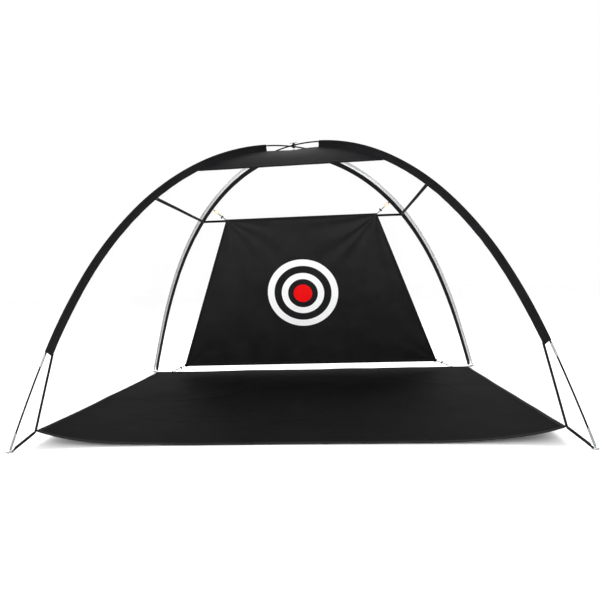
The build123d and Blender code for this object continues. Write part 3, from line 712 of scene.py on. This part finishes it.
def floor_point(u, v):
    deep = FLOOR_REAR.y + FLOOR_FRONT.y
    x = floor_half(v) * (2 * u - 1)
    y = -FLOOR_FRONT.y + deep * v + FLOOR_BOW * math.sin(math.pi * u) * (1 - v)
    return Vector((x, y, floor_height(x, y, (y + FLOOR_FRONT.y) / deep)))


floor_obj = grid_sheet("floor_cloth", floor_point, 180, 120)
solidify(floor_obj, CLOTH_THICK)
finish_piece(floor_obj, "floor_cloth", replaces=["floor_sheet"])


def floor_edge_line(run, inset, lift, steps=120):
    """A line beside one edge of the sheet: its points, the ways into the sheet and the ways up."""
    (u0, v0), (u1, v1) = run
    near_u, near_v = (0.98, 1) if u0 == u1 else (1, 0.98)
    points, insides, normals = [], [], []
    for i in range(steps + 1):
        u, v = u0 + (u1 - u0) * i / steps, v0 + (v1 - v0) * i / steps
        p = floor_point(u, v)
        along = (floor_point(u + (u1 - u0) * 0.004, v + (v1 - v0) * 0.004) - p).normalized()
        within = floor_point(0.5 + (u - 0.5) * near_u, 0.5 + (v - 0.5) * near_v) - p
        inside = (within - along * within.dot(along)).normalized()
        normal = along.cross(inside).normalized()
        if normal.z < 0:
            normal = -normal
        points.append(p + inside * inset + normal * lift)
        insides.append(inside)
        normals.append(normal)
    return points, insides, normals


def floor_binding_piece():
    parts = [loft("run", band_rings(*floor_edge_line(run, 0.010, 0.0012), BINDING_WIDTH, BINDING_THICK))
             for run in EDGE_RUNS]
    finish_piece(join(parts, "floor_sheet_binding"), "binding_tape", replaces=["floor_binding"])


floor_binding_piece()


# ---------------------------------------------------------------- target sheet

TARGET_UP = Vector((0, TARGET_TOP.y - TARGET_FOOT.y, TARGET_TOP.z - TARGET_FOOT.z))
TARGET_HEIGHT = TARGET_UP.length
TARGET_UP.normalize()
TARGET_RIGHT = Vector((1, 0, 0))
TARGET_FACE = TARGET_RIGHT.cross(TARGET_UP)       # towards the player
TARGET_THICK = 0.0010
TARGET_HEM_WIDTH, TARGET_HEM_THICK = 0.024, 0.0036
RING_CENTRE = 0.683                               # up the sheet from its foot edge
RING_ASIDE = -0.016
RINGS = (0.3055, 0.248, 0.1845, 0.1295, 0.0805)   # radii: outer ring, inner ring, spot
PRINT_EDGE = 0.0008                               # half the soft rim of the paint


def target_half(height):
    return TARGET_FOOT.x + (TARGET_TOP.x - TARGET_FOOT.x) * height / TARGET_HEIGHT


def target_folds(x, h):
    """Tension folds that run from the corners into the sheet, and soft random relief."""
    relief = noise.noise(Vector((x * 2.2, h * 2.4, 7.7))) * 0.004
    for sx, top, strength, lobes, seed in ((1, 1, 1.0, 15, 0.4), (-1, 1, 0.5, 13, 2.2),
                                           (1, 0, 0.4, 12, 3.1), (-1, 0, 0.25, 12, 5.0)):
        cx = sx * (TARGET_TOP.x if top else TARGET_FOOT.x)
        ch = TARGET_HEIGHT if top else 0.0
        dx, dh = sx * (cx - x), (ch - h) if top else h
        r = math.hypot(dx, dh)
        if r < 1e-4:
            continue
        angle = math.atan2(dh, dx)
        envelope = strength * math.exp(-r / 0.42) * min(r / 0.10, 1.0)
        wander = 2.2 * noise.noise(Vector((angle * 2, r * 2, seed)))
        relief += envelope * 0.0105 * math.sin(lobes * angle + seed + wander)
    return relief


def target_point(u, v):
    h = TARGET_HEIGHT * v
    x = target_half(h) * (2 * u - 1)
    calm = min(min(u, 1 - u, v, 1 - v) / 0.05, 1.0)
    base = Vector((0, TARGET_FOOT.y, TARGET_FOOT.z))
    off = target_folds(x, h) * calm - 0.010 * math.sin(math.pi * u) * math.sin(math.pi * v)
    return base + TARGET_RIGHT * x + TARGET_UP * h + TARGET_FACE * off


def target_material():
    """Black cloth with two white rings and a red spot printed on its front."""
    cloth_material("target_cloth", (0.006, 0.006, 0.007), (0.013, 0.013, 0.014), 0.5, 0.03, specular=0.12)
    tree = MATERIALS["target_cloth"].node_tree
    bsdf = tree.nodes["Principled BSDF"]
    coords = object_coords(tree)
    centre = Vector((RING_ASIDE, TARGET_FOOT.y, TARGET_FOOT.z)) + TARGET_UP * RING_CENTRE
    shift = add_node(tree, "ShaderNodeVectorMath", operation="SUBTRACT")
    shift.inputs[1].default_value = centre
    tree.links.new(coords, shift.inputs[0])

    def component(vector, direction):
        dot = add_node(tree, "ShaderNodeVectorMath", operation="DOT_PRODUCT")
        dot.inputs[1].default_value = direction
        tree.links.new(vector, dot.inputs[0])
        return dot.outputs["Value"]

    across = component(shift.outputs["Vector"], TARGET_RIGHT)
    up = component(shift.outputs["Vector"], TARGET_UP)
    square = math_node(tree, "ADD", math_node(tree, "MULTIPLY", across, across),
                       math_node(tree, "MULTIPLY", up, up))
    radius = math_node(tree, "SQRT", square)

    def inside(limit):
        node = feed(tree, tree.nodes.new("ShaderNodeMapRange"),
                    {"interpolation_type": "SMOOTHSTEP", "Value": radius, "From Min": limit - PRINT_EDGE,
                     "From Max": limit + PRINT_EDGE, "To Min": 1.0, "To Max": 0.0})
        return node.outputs["Result"]

    white = math_node(tree, "ADD",
                      math_node(tree, "SUBTRACT", inside(RINGS[0]), inside(RINGS[1])),
                      math_node(tree, "SUBTRACT", inside(RINGS[2]), inside(RINGS[3])))
    speckle = noise_node(tree, coords, 90.0, 4.0, 0.7)
    paint_white = ramp(tree, speckle, (0.93, 0.93, 0.93), (0.97, 0.97, 0.97))
    paint_red = ramp(tree, speckle, (0.74, 0.002, 0.003), (0.90, 0.003, 0.005))
    facing = component(object_coords(tree, "Normal"), TARGET_FACE)
    front = math_node(tree, "GREATER_THAN", facing, 0.3)
    colour = bsdf.inputs["Base Color"].links[0].from_socket
    for mask, paint in ((white, paint_white), (inside(RINGS[4]), paint_red)):
        printed = math_node(tree, "MULTIPLY", mask, front)
        mix = add_node(tree, "ShaderNodeMix", data_type="RGBA", Factor=printed, A=colour, B=paint)
        colour = mix.outputs["Result"]
    tree.links.new(colour, bsdf.inputs["Base Color"])


def target_edge_line(run, inset, lift=0.0, steps=90):
    """A line beside one edge of the sheet, with the ways along the edge and into the sheet."""
    (u0, v0), (u1, v1) = run
    ahead = (target_point(u1, v1) - target_point(u0, v0)).normalized()
    inside = TARGET_FACE.cross(ahead)
    offset = inside * inset + TARGET_FACE * lift
    points = [target_point(u0 + (u1 - u0) * k / steps, v0 + (v1 - v0) * k / steps) + offset
              for k in range(steps + 1)]
    return points, ahead, inside


def target_binding_piece():
    parts = []
    for run in EDGE_RUNS:
        points, _ahead, inside = target_edge_line(run, 0.0115)
        count = len(points)
        rings = band_rings(points, [inside] * count, [TARGET_FACE] * count, TARGET_HEM_WIDTH, TARGET_HEM_THICK)
        parts.append(loft("run", rings))
    obj = join(parts, "target_hem_binding")
    finish_piece(obj, "target_hem", body="target", replaces=["target_binding"])


target_material()
target_obj = grid_sheet("target_cloth", target_point, 220, 150)
solidify(target_obj, TARGET_THICK)
finish_piece(target_obj, "target_cloth", body="target", replaces=["target_sheet"])
target_binding_piece()


# ---------------------------------------------------------------- ties, straps and the crown lashing

TIES = {"top_left": (-1, 1), "top_right": (1, 1), "foot_left": (-1, -1), "foot_right": (1, -1)}
ANCHORS = {"top": Vector((0.7070, 0.4713, 1.4415)), "foot": Vector((1.297, 0.946, 0.013))}
EYELET_INSET = 0.017
LOCK_PLACE = {"top": -0.082, "foot": -0.108}
STRAND_WIDE, STRAND_NARROW, STRAND_FLAT = 0.0046, 0.0022, 0.031
EYE_BACK = -0.0536
ELASTIC_R = 0.0020
LOOP_REACH, LOOP_R = 0.005, 0.0037
LOOP_WIDTH, LOOP_THICK = 0.0066, 0.0012
STRAP_WIDTH, STRAP_THICK, STRAP_TWIST = 0.015, 0.0015, 1.25
LASHING_R = 0.0015
ROUNDING = 0.00005            # keeps a corner's radius just under half the way round


def tie_frame(tie):
    """Anchor, direction from the eyelet to the anchor, the way off the sheet, and the distance."""
    sx, sy = TIES[tie]
    lean = (TARGET_FOOT.x - TARGET_TOP.x) / TARGET_HEIGHT
    side = EYELET_INSET * math.hypot(1, lean)
    if sy > 0:
        x, h = TARGET_TOP.x + lean * EYELET_INSET - side, TARGET_HEIGHT - EYELET_INSET
    else:
        x, h = TARGET_FOOT.x - lean * EYELET_INSET - side, EYELET_INSET
    eyelet = Vector((sx * x, TARGET_FOOT.y, TARGET_FOOT.z)) + TARGET_UP * h
    point = ANCHORS[tie.split("_")[0]]
    anchor = Vector((sx * point.x, point.y, point.z))
    along = (anchor - eyelet).normalized()
    across = TARGET_FACE.cross(along).normalized()
    return anchor, along, along.cross(across), (anchor - eyelet).length


def rounded_loop(points, radii, steps=7):
    """Closed flat outline with each corner rounded to its radius."""
    result = []
    count = len(points)
    for i, radius in enumerate(radii):
        here = Vector(points[i])
        to_last = (Vector(points[i - 1]) - here).normalized()
        to_next = (Vector(points[(i + 1) % count]) - here).normalized()
        half = to_last.angle(to_next) / 2
        start = here + to_last * radius / math.tan(half)
        end = here + to_next * radius / math.tan(half)
        centre = here + (to_last + to_next).normalized() * radius / math.sin(half)
        for k in range(steps + 1):
            ray = (start - centre).lerp(end - centre, k / steps)
            result.append(centre + ray.normalized() * radius)
    return result


def resample(points, step, closed=True):
    """Evenly spaced points along a polyline."""
    pts = points + [points[0]] if closed else points
    lengths = [0.0]
    for p, q in zip(pts, pts[1:]):
        lengths.append(lengths[-1] + (q - p).length)
    count = max(int(lengths[-1] / step), 4)
    result, k = [], 0
    for i in range(count if closed else count + 1):
        want = lengths[-1] * i / count
        while k < len(pts) - 2 and lengths[k + 1] < want:
            k += 1
        share = (want - lengths[k]) / max(lengths[k + 1] - lengths[k], 1e-9)
        result.append(pts[k].lerp(pts[k + 1], share))
    return result


def braided_tube(name, points, radius, closed=False, sides=14, pitch=0.006, relief=0.09):
    """Braided cord: strands crossing over each other as a relief on a round tube."""
    rings = tube_rings(points, radius, sides, closed)
    travelled = 0.0
    for i, ring in enumerate(rings):
        centre = points[i]
        if i:
            travelled += (points[i] - points[i - 1]).length
        turn = 2 * math.pi * travelled / pitch
        for j, p in enumerate(ring):
            angle = 2 * math.pi * j / sides
            bump = math.sin(3 * angle + turn) * math.sin(3 * angle - turn)
            ring[j] = centre + (p - centre) * (1 + relief * bump)
    return loft(name, rings, closed)


def elastic_piece(tie):
    anchor, along, up, reach = tie_frame(tie)
    lift_along, lift_up = TARGET_FACE.dot(along), TARGET_FACE.dot(up)
    lock = LOCK_PLACE[tie.split("_")[0]]

    def by_sheet(away, offset):
        return (-reach + lift_up * away + lift_along * offset, lift_up * offset - lift_along * away)

    def strand(side):
        wide, narrow = side * STRAND_WIDE, side * STRAND_NARROW
        return [by_sheet(0, wide), by_sheet(STRAND_FLAT, wide), (lock - 0.007, narrow), (lock + 0.007, narrow),
                (lock + 0.017, wide), (EYE_BACK + STRAND_WIDE, wide)]

    radii = [STRAND_WIDE - ROUNDING, 0.010, 0.010, 0.010, 0.010, STRAND_WIDE - ROUNDING]
    outline = rounded_loop(strand(1) + strand(-1)[::-1], radii + radii[::-1])
    points = resample([anchor + along * p[0] + up * p[1] for p in outline], 0.0008)
    obj = braided_tube(f"elastic_loop_{tie}", points, ELASTIC_R, closed=True)
    at_top = tie.startswith("top")
    finish_piece(obj, "elastic_cord", body="target" if at_top else None, replaces=[f"elastic_cord_{tie}"])
    if not at_top:
        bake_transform(obj)


def path_band(name, points, width_dir, width, thick, closed=False, twist=0.0):
    """Webbing along a path that bends about width_dir, ribbed across its weave. A twist turns it up
    soon after its start and flat again where its doubled end begins."""
    widths, normals, ribbed = [], [], []
    for i, (point, tangent) in enumerate(zip(points, path_tangents(points, closed))):
        share = min(i / (len(points) * 0.72), 1.0)
        turn = twist * (1 - (1 - math.sin(math.pi * share)) ** 4)
        widths.append(Matrix.Rotation(turn, 3, tangent) @ width_dir)
        normals.append(tangent.cross(widths[-1]).normalized())
        ribbed.append(point + normals[-1] * (0.00012 if i % 2 else 0.0))
    return loft(name, band_rings(ribbed, widths, normals, width, thick), closed)


def hook_loops_piece():
    parts = []
    back = -0.0005 - LOOP_R
    corners = [(back, LOOP_R), (LOOP_REACH, LOOP_R), (LOOP_REACH, -LOOP_R), (back, -LOOP_R)]
    for tie in TIES:
        anchor, along, up, _reach = tie_frame(tie)
        outline = rounded_loop(corners, [LOOP_R - ROUNDING] * 4)
        points = resample([anchor + along * p[0] + up * p[1] for p in outline], 0.0012)
        across = up.cross(along).normalized()
        parts.append(path_band("loop", points, across, LOOP_WIDTH, LOOP_THICK, closed=True))
    finish_piece(join(parts, "hook_webbing_loops"), "webbing", replaces=["hook_loops"])


def strap_path(corner):
    """From the sheet's corner, round the ring's inner bar and back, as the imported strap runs."""
    if corner.startswith("front"):
        r, z = math.hypot(FLOOR_FRONT.x, FLOOR_FRONT.y) - 0.004, FLOOR_FRONT.z + 0.0032
    else:
        r, z = math.hypot(FLOOR_REAR.x, FLOOR_REAR.y) - 0.014, 0.0032
    ring_r, ring_z = HALF_SPAN + 0.002 - 0.0105, 0.005
    turn = 0.00255
    reach = math.hypot(r - ring_r, z - ring_z)
    along = ((r - ring_r) / reach, (z - ring_z) / reach)
    over = (-along[1], along[0]) if along[0] > 0 else (along[1], -along[0])

    def point(a, b):
        return place(corner, ring_r + along[0] * a + over[0] * b, ring_z + along[1] * a + over[1] * b)

    tail = min(0.030, reach * 0.5)
    points = [point(reach * k / 40, turn) for k in range(40, 0, -1)]
    points += [point(-turn * math.sin(a), turn * math.cos(a)) for a in (math.pi * k / 12 for k in range(13))]
    points += [point(tail * k / 12, -turn) for k in range(1, 13)]
    return resample(points, 0.0018, closed=False)


def straps_piece(end):
    parts = []
    for side, sx in SIDES.items():
        corner = f"{end}_{side}"
        width_dir = place(corner, 0, 0, 1).normalized()
        twist = sx * STRAP_TWIST if end == "front" else 0.0
        parts.append(path_band("strap", strap_path(corner), width_dir, STRAP_WIDTH, STRAP_THICK, twist=twist))
    finish_piece(join(parts, f"{end}_strap_webbing"), "webbing", replaces=[f"{end}_corner_straps"])


LASHING_TAILS = (             # control points of each tail's curve, above the crown
    ((0.002, -0.003, 0.0165), (0.009, -0.008, 0.0190), (0.017, -0.010, 0.0215), (0.026, -0.012, 0.0225)),
    ((-0.002, 0.000, 0.0165), (-0.010, -0.006, 0.0185), (-0.018, -0.011, 0.0170), (-0.024, -0.015, 0.0125)),
    ((0.000, -0.004, 0.0160), (0.001, -0.013, 0.0165), (-0.002, -0.019, 0.0120), (-0.004, -0.021, 0.0040)))


def lashing_turn(direction, offset, half, reach, tilt):
    """One turn of cord round the crossing, in an upright plane along direction."""
    side = Vector((-direction.y, direction.x, 0))
    corners = [(-half, -reach), (-half, reach), (half, reach), (half, -reach)]
    return [direction * p[0] + side * (offset + tilt * p[0]) + Vector((0, 0, HEIGHT + p[1]))
            for p in rounded_loop(corners, [0.0062] * 4, 6)]


def crown_lashing():
    """Cord wound round the crossing poles both ways, knotted on top, with a drop to the canopy."""
    parts = []

    def cord(points, closed, radius=LASHING_R):
        parts.append(braided_tube("cord", points, radius, closed, 10, 0.004, 0.08))

    for direction, reach in ((Vector((1, 0, 0)), 0.0116), (Vector((0, 1, 0)), 0.0142)):
        for k in (-1, 0, 1):
            turn = lashing_turn(direction, 0.0032 * k, 0.0125 + 0.0004 * k, reach, 0.10 * k)
            cord(resample(turn, 0.0009), True)
    cord([Vector((0.0034 * (math.sin(a) + 1.5 * math.sin(2 * a)),
                  0.0030 * (math.cos(a) - 1.5 * math.cos(2 * a)),
                  HEIGHT + 0.0178 - 0.0022 * math.sin(3 * a)))
          for a in (2 * math.pi * k / 150 for k in range(150))], True, LASHING_R * 1.1)
    for route in LASHING_TAILS:
        a, b, c, d = (Vector(p) + Vector((0, 0, HEIGHT)) for p in route)
        cord([a * (1 - s) ** 3 + b * 3 * s * (1 - s) ** 2 + c * 3 * s * s * (1 - s) + d * s ** 3
              for s in (k / 30 for k in range(31))], False)
    cord([Vector((0.0012 * math.sin(s * 2.4), 0.0008 * math.sin(s * 5), HEIGHT - 0.0125 - 0.0275 * s))
          for s in (k / 24 for k in range(25))], False)
    finish_piece(join(parts, "crown_lashing"), "elastic_cord", replaces=["crown_tie"])


for tie_name in TIES:
    elastic_piece(tie_name)
hook_loops_piece()
for strap_end in ("front", "rear"):
    straps_piece(strap_end)
crown_lashing()


# ---------------------------------------------------------------- sewing

STITCH, STITCH_GAP, STITCH_THICK = 0.0034, 0.0022, 0.0006
STITCH_SHAPE = ((-0.5, 0.35, 0.2), (-0.25, 0.5, 0.5), (0.25, 0.5, 0.5), (0.5, 0.35, 0.2))


def stitch(middle, direction, normal, first):
    """One short rounded stitch, its vertices counted from first."""
    side = direction.cross(normal).normalized()
    verts = [middle + direction * x * STITCH + side * a * wide * STITCH_THICK + normal * b * high * STITCH_THICK
             for x, wide, high in STITCH_SHAPE for a, b in ((-1, -1), (1, -1), (1, 1), (-1, 1))]
    faces = [(first + r + c, first + r + (c + 1) % 4, first + r + 4 + (c + 1) % 4, first + r + 4 + c)
             for r in (0, 4, 8) for c in range(4)]
    ends = ((3, 2, 1, 0), (12, 13, 14, 15))
    return verts, faces + [tuple(first + k for k in end) for end in ends]


def thread_piece(name, rows, slot, body="root"):
    """Rows of stitches as one piece: each row is a list of points and their outward normals."""
    verts, faces = [], []
    for points, normals in rows:
        travelled, at = 0.0, 0.0
        for p, q, normal in zip(points, points[1:], normals):
            run = (q - p).length
            direction = (q - p) / max(run, 1e-9)
            while at < travelled + run:
                new_verts, new_faces = stitch(p + direction * (at - travelled), direction, normal, len(verts))
                verts += new_verts
                faces += new_faces
                at += STITCH + STITCH_GAP
            travelled += run
    finish_piece(mesh_object(name, verts, faces, smooth=False), slot, body, material="thread_black")


def seam_rows(corner, end, deeps, off, steps=240):
    """Stitches along an arch, on both faces of the cloth."""
    rows = []
    start = SLEEVE_START + 0.002
    for face in (1, -1):
        for deep in deeps:
            points, normals = [], []
            for i in range(steps + 1):
                s = start + (end - start) * i / steps
                points.append(on_arch(corner, s, deep, off * face))
                normals.append((on_arch(corner, s, deep, 0.001) - on_arch(corner, s, deep)).normalized() * face)
            rows.append((points, normals))
    return rows


def target_rows():
    rows = []
    for run in EDGE_RUNS:
        for inset in (0.0035, 0.0205):
            for face in (1, -1):
                points, ahead, _inside = target_edge_line(run, inset, 0.0019 * face)
                points[0] += ahead * inset * 1.6
                points[-1] -= ahead * inset * 1.6
                rows.append((points, [TARGET_FACE * face] * len(points)))
    return rows


def hem_rows():
    left, right, down = canopy_hem_line()
    face = (right - left).normalized().cross(down).normalized()
    rows = []
    for inset in (-0.0135, 0.0015):
        for side in (1, -1):
            offset = down * inset + face * 0.0017 * side
            rows.append(([left.lerp(right, k / 60) + offset for k in range(61)], [face * side] * 61))
    return rows


def floor_rows():
    lines = (floor_edge_line(run, inset, 0.0026) for run in EDGE_RUNS for inset in (0.004, 0.0185))
    return [(points, normals) for points, _insides, normals in lines]


thread_piece("canopy_hem_stitches", hem_rows(), "canopy_cloth")
thread_piece("floor_binding_stitches", floor_rows(), "binding_tape")
for side in SIDES:
    rear_rows = seam_rows(f"rear_{side}", REAR_TAPE_END - 0.002, (REAR_DEEP + 0.001, TAPE_DEEP - 0.004), 0.0016)
    front_rows = seam_rows(f"front_{side}", FRONT_SLEEVE_END - 0.003, (0.0185, FRONT_DEEP - 0.0045), 0.0021)
    thread_piece(f"rear_seam_stitches_{side}", rear_rows, "binding_tape")
    thread_piece(f"front_sleeve_stitches_{side}", front_rows, "canopy_cloth")
thread_piece("target_hem_stitches", target_rows(), "target_hem", body="target")


# ---------------------------------------------------------------- CAD nodes that stay

for subpart in frame["record"]["subparts"]:
    node = frame["nodes"][subpart["node"]]
    node.data.materials.clear()
    node.data.materials.append(MATERIALS[subpart["material_slot"]])


# ---------------------------------------------------------------- stage, light and camera

STAGE_SIZE = 40
LENS = 27.77                  # millimetres, on a 36 mm sensor
CAMERA_PLACE = (0.2486, -3.3063, 0.9072)
YAW, PITCH, ROLL = 0.0728, -0.0587, -0.034
LAMPS = (("top", (0.3, 2.6, 5.2), 3.5, 300.0), ("front", (-0.8, -5.5, 2.4), 5.0, 190.0))   # size, power


def make_stage():
    def level(u, v):
        return Vector((STAGE_SIZE * (u - 0.5), STAGE_SIZE * (v - 0.5), -0.0004))

    ground = grid_sheet("ground", level, 2, 2)
    tree, bsdf = node_material("ground_white")
    feed(tree, bsdf, {"Base Color": (0.99, 0.99, 0.99, 1), "Roughness": 1.0, "Specular IOR Level": 0.0})
    ground.data.materials.append(MATERIALS["ground_white"])


def make_light():
    world = bpy.data.worlds.new("studio")
    bpy.context.scene.world = world
    world.use_nodes = True
    feed(world.node_tree, world.node_tree.nodes["Background"], {"Color": (1, 1, 1, 1), "Strength": 1.0})
    for name, spot, size, power in LAMPS:
        data = bpy.data.lights.new(name, "AREA")
        data.energy = power
        data.size = size
        light = bpy.data.objects.new(name, data)
        light.location = spot
        light.rotation_euler = (Vector((0, 0, 0.6)) - Vector(spot)).to_track_quat("-Z", "Y").to_euler()
        bpy.context.scene.collection.objects.link(light)


def make_camera():
    data = bpy.data.cameras.new("camera")
    data.sensor_width, data.lens = 36.0, LENS
    data.clip_start, data.clip_end = 0.05, 200
    camera = bpy.data.objects.new("camera", data)
    forward = Vector((-math.sin(YAW) * math.cos(PITCH), math.cos(YAW) * math.cos(PITCH), math.sin(PITCH)))
    right = Vector((math.cos(YAW), math.sin(YAW), 0))
    up = right.cross(forward)
    right, up = right * math.cos(ROLL) + up * math.sin(ROLL), up * math.cos(ROLL) - right * math.sin(ROLL)
    rotation = Matrix((right, up, -forward)).transposed()
    camera.matrix_world = Matrix.Translation(CAMERA_PLACE) @ rotation.to_4x4()
    bpy.context.scene.collection.objects.link(camera)
    bpy.context.scene.camera = camera


make_stage()
make_light()
make_camera()
bpy.context.scene.view_settings.view_transform = "Standard"
bpy.context.scene.view_settings.look = "None"
